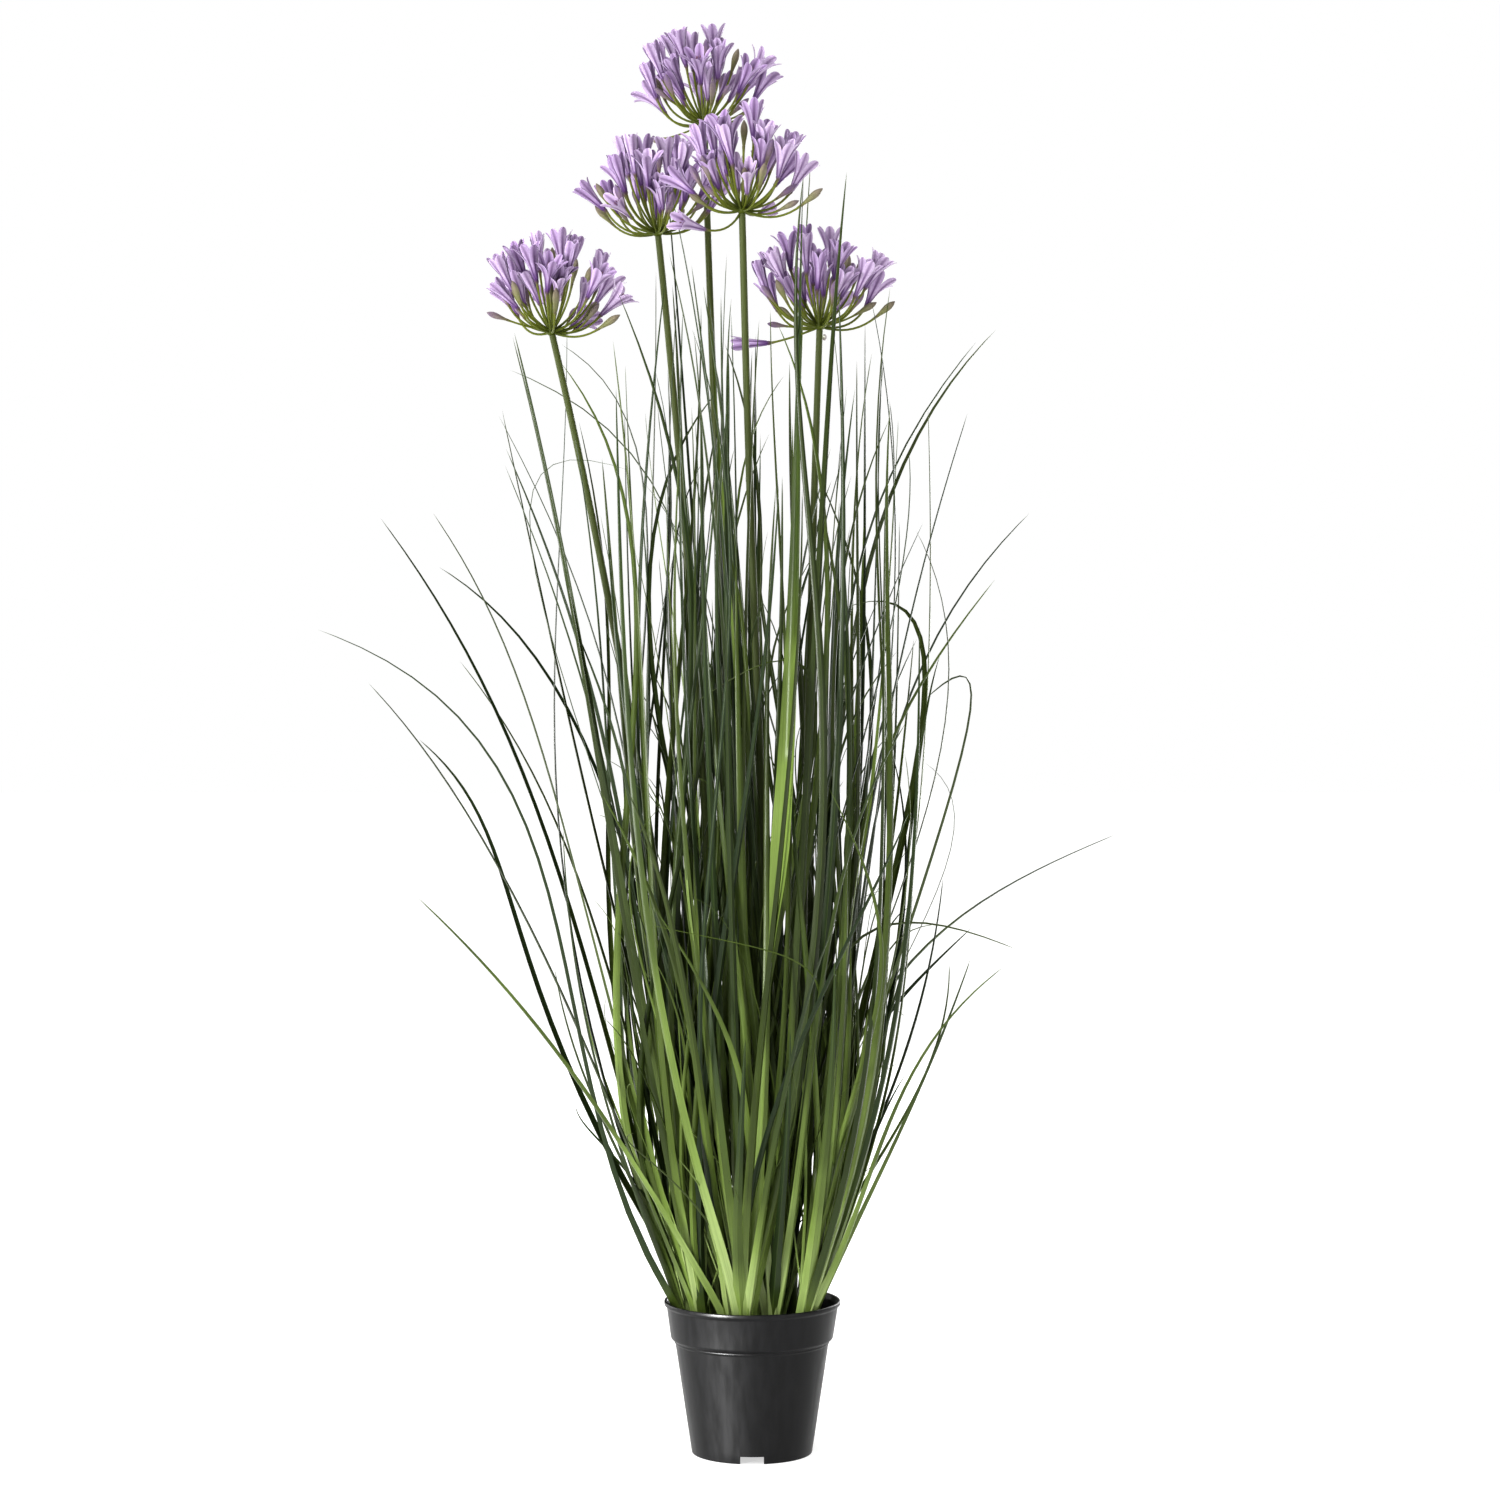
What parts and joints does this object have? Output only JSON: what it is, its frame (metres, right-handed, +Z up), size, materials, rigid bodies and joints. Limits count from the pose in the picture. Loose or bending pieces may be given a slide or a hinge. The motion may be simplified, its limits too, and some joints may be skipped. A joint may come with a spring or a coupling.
{
  "type": "potted agapanthus plant",
  "caption": "Potted agapanthus with umbels of lilac flowers on tall stems above a bunch of long grassy leaves in a black nursery pot.",
  "frame": {"origin": "centre of the pot's foot, on the surface it stands on", "axes": "+Z up, -Y towards the front notch in the pot's foot, +X to the right seen from the front"},
  "size_m": [0.673, 0.58, 1.2151],
  "materials": {
    "pot_plastic": "satin black moulded polypropylene",
    "fill": "dark brown gritty weighted fill",
    "scape_green": "satin olive-green moulded plastic",
    "petal_lilac": "lilac with darker midlines and paler edges, faint sheen",
    "leaf_green": "glossy dark green, yellow-green towards the root"
  },
  "bodies": {
    "root": {"pot": "pot_plastic", "pot_fill": "fill", "flower_stem_1": "scape_green", "flower_stem_2": "scape_green", "flower_stem_3": "scape_green", "flower_stem_4": "scape_green", "flower_stem_5": "scape_green", "flower_head_1": "petal_lilac", "flower_head_2": "petal_lilac", "flower_head_3": "petal_lilac", "flower_head_4": "petal_lilac", "flower_head_5": "petal_lilac", "leaf_tuft_01": "leaf_green", "leaf_tuft_02": "leaf_green", "leaf_tuft_03": "leaf_green", "leaf_tuft_04": "leaf_green", "leaf_tuft_05": "leaf_green", "leaf_tuft_06": "leaf_green", "leaf_tuft_07": "leaf_green", "leaf_tuft_08": "leaf_green", "leaf_tuft_09": "leaf_green", "leaf_tuft_10": "leaf_green", "leaf_tuft_11": "leaf_green", "leaf_tuft_12": "leaf_green", "leaf_tuft_13": "leaf_green", "leaf_tuft_14": "leaf_green"}
  },
  "joints": []
}
